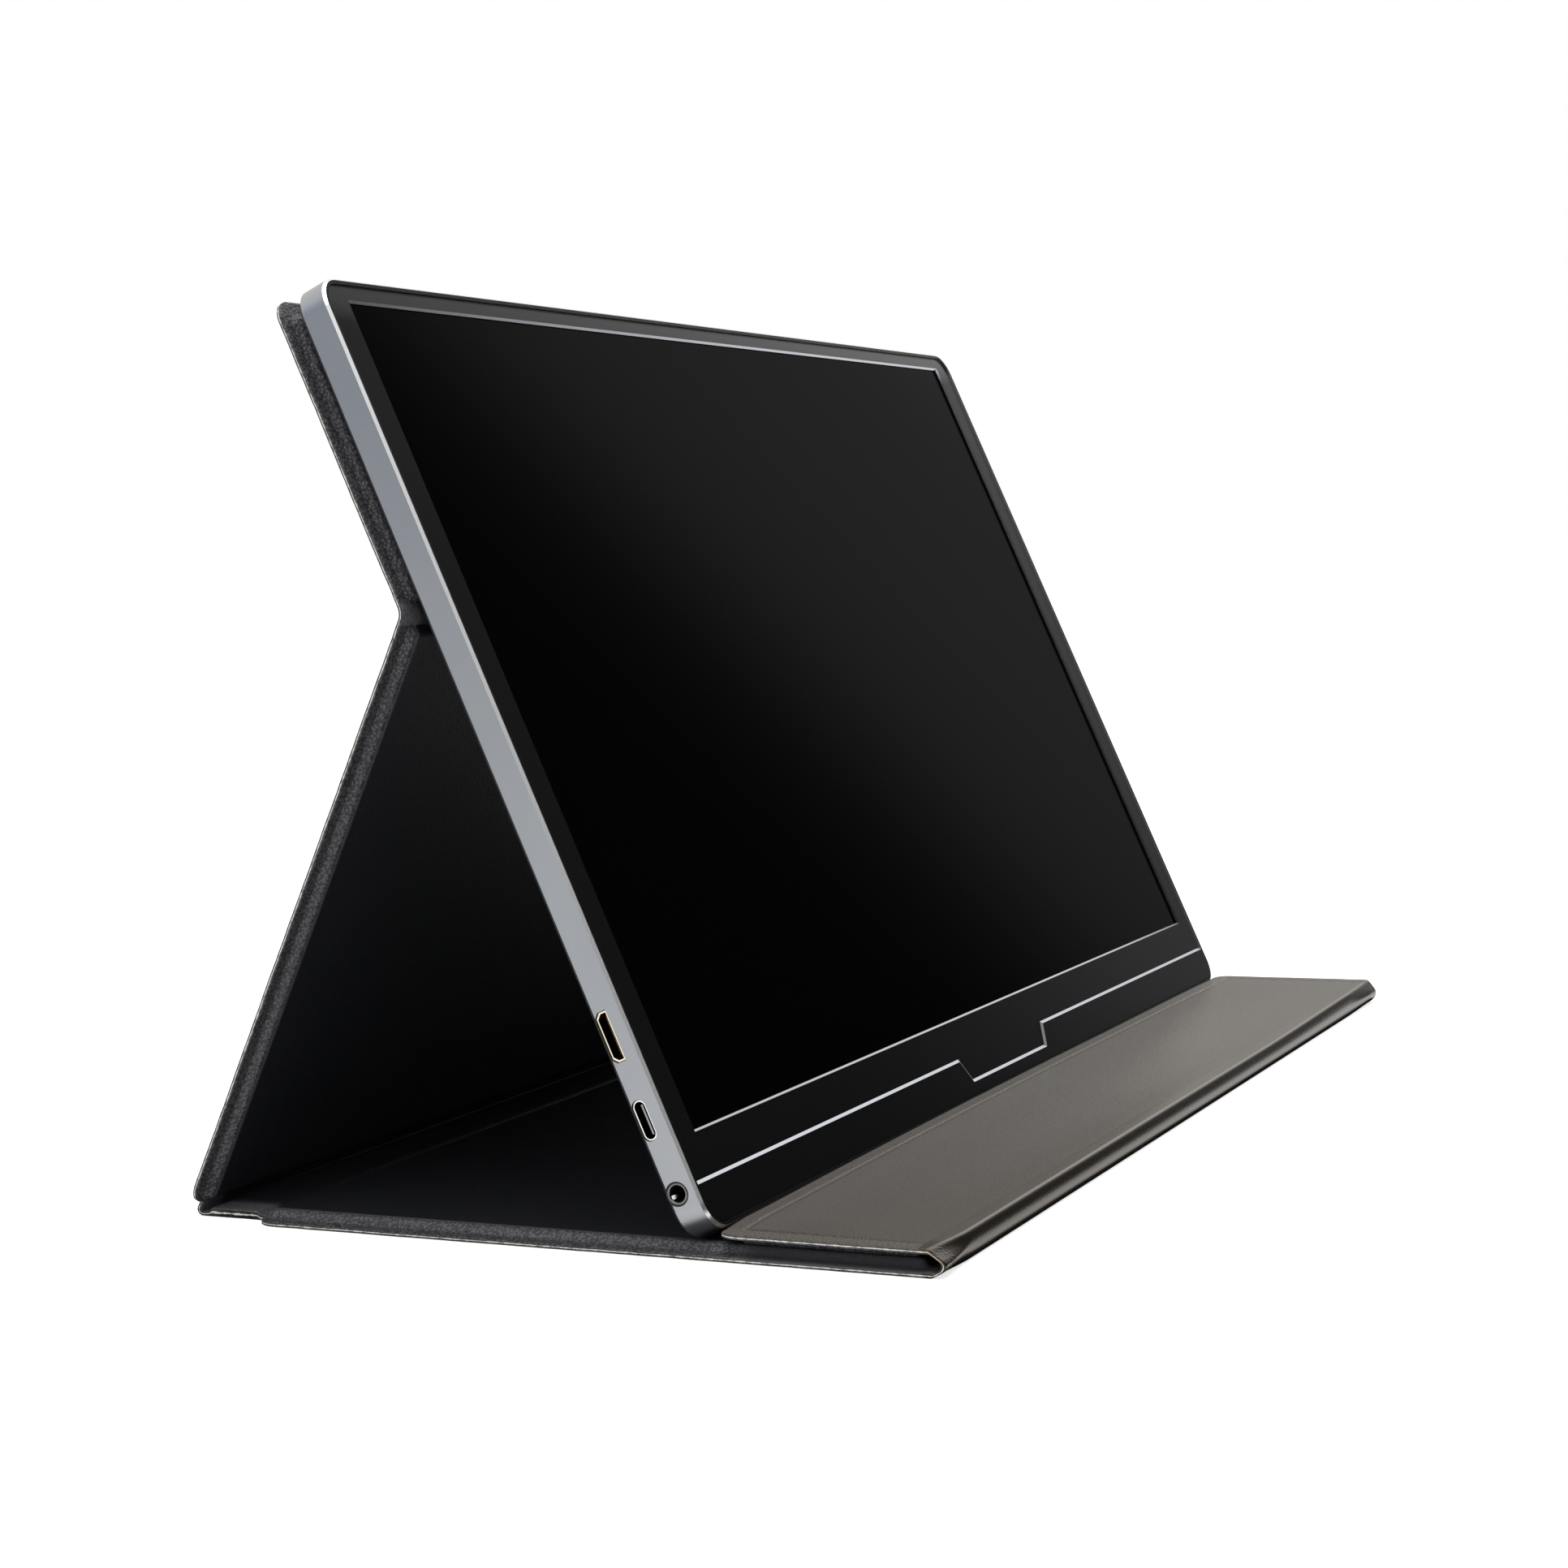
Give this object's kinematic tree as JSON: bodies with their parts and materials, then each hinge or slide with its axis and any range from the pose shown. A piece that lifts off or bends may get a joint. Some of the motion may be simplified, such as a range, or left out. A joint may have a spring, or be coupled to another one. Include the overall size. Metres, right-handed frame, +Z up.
{
  "type": "portable monitor with folding cover",
  "caption": "Thin flat portable display held by a folding leather cover that is set up as a stand with a leg behind and a stop panel in front.",
  "frame": {"origin": "centre of the overall box on the surface that the cover stands on", "axes": "+X to the right as the viewer sees the screen, screen facing -Y and leaning back towards +Y, +Z up"},
  "size_m": [0.3684, 0.1872, 0.2099],
  "materials": {
    "anodised_aluminium": "satin blasted",
    "black_plastic": "matte",
    "foam_tape": "matte",
    "steel": "satin",
    "screen_glass": "matte anti-glare",
    "white_film": "matte",
    "clear_acrylic": "gloss",
    "circuit_board": "satin",
    "amber_film": "gloss",
    "plated_metal": "satin",
    "white_plastic": "matte",
    "lead_rubber": "matte",
    "cover_leather": "fine grain, satin",
    "cover_lining": "matte suede",
    "magnet": "plated",
    "thermal_pad": "matte",
    "stiff_board": "matte"
  },
  "bodies": {
    "base": {"base_leather": "cover_leather", "base_board": "stiff_board", "base_lining": "cover_lining", "base_magnets": "magnet", "spine_board": "stiff_board", "front_fold": "cover_leather"},
    "stop": {"stop_leather": "cover_leather", "stop_board": "stiff_board", "stop_lining": "cover_lining", "stop_magnets": "magnet"},
    "leg": {"leg_leather": "cover_leather", "leg_board": "stiff_board", "leg_lining": "cover_lining"},
    "display": {"rear_shell": "anodised_aluminium", "front_bezel": "black_plastic", "chin_plate": "black_plastic", "case_screws": "steel", "steel_plates": "steel", "panel_tape": "foam_tape", "lcd_glass": "screen_glass", "optical_films": "white_film", "light_guide": "clear_acrylic", "reflector_sheet": "white_film", "led_bar": "white_plastic", "panel_tray": "steel", "panel_board": "circuit_board", "panel_flexes": "amber_film", "panel_cable": "black_plastic", "driver_board": "circuit_board", "scaler_chip": "black_plastic", "board_parts": "black_plastic", "heat_pad": "thermal_pad", "board_screws": "steel", "headphone_jack": "black_plastic", "data_socket": "plated_metal", "video_socket": "plated_metal", "power_socket": "plated_metal", "control_board": "circuit_board", "control_cable": "white_film", "power_switch": "white_plastic", "menu_switches": "white_plastic", "rocker_holder": "black_plastic", "left_speaker": "black_plastic", "right_speaker": "black_plastic", "speaker_leads": "lead_rubber", "upper_leather": "cover_leather", "upper_board": "stiff_board", "upper_lining": "cover_lining", "upper_magnets": "magnet"},
    "power_key": {"power_button": "anodised_aluminium"},
    "menu_key": {"menu_rocker": "anodised_aluminium"}
  },
  "joints": [
    {"name": "leg_fold", "type": "hinge", "parent": "base", "child": "leg", "pos_m": [0, 0.09305, 0.0006], "axis": [-1, 0, 0], "range_deg": [0, 115.64]},
    {"name": "back_fold", "type": "hinge", "parent": "leg", "child": "display", "pos_m": [0, 0.02784, 0.13646], "axis": [-1, 0, 0], "range_deg": [-49, 0]},
    {"name": "stop_fold", "type": "hinge", "parent": "base", "child": "stop", "pos_m": [0, -0.09305, 0.00305], "axis": [1, 0, 0], "range_deg": [0, 180], "deforming": ["front_fold"]},
    {"name": "power_press", "type": "slide", "parent": "display", "child": "power_key", "axis": [-1, 0, 0], "range_m": [0, 0.0005], "stiffness_N_per_m": 600, "springref_m": -0.001},
    {"name": "menu_rock", "type": "hinge", "parent": "display", "child": "menu_key", "pos_m": [0.1804, -0.01754, 0.04778], "axis": [0, -0.9184, 0.3955], "range_deg": [-3, 3], "stiffness_Nm_per_rad": 0.02}
  ],
  "couplings": [
    {"joint": "back_fold", "follows": "leg_fold", "ratio": -0.4232}
  ]
}
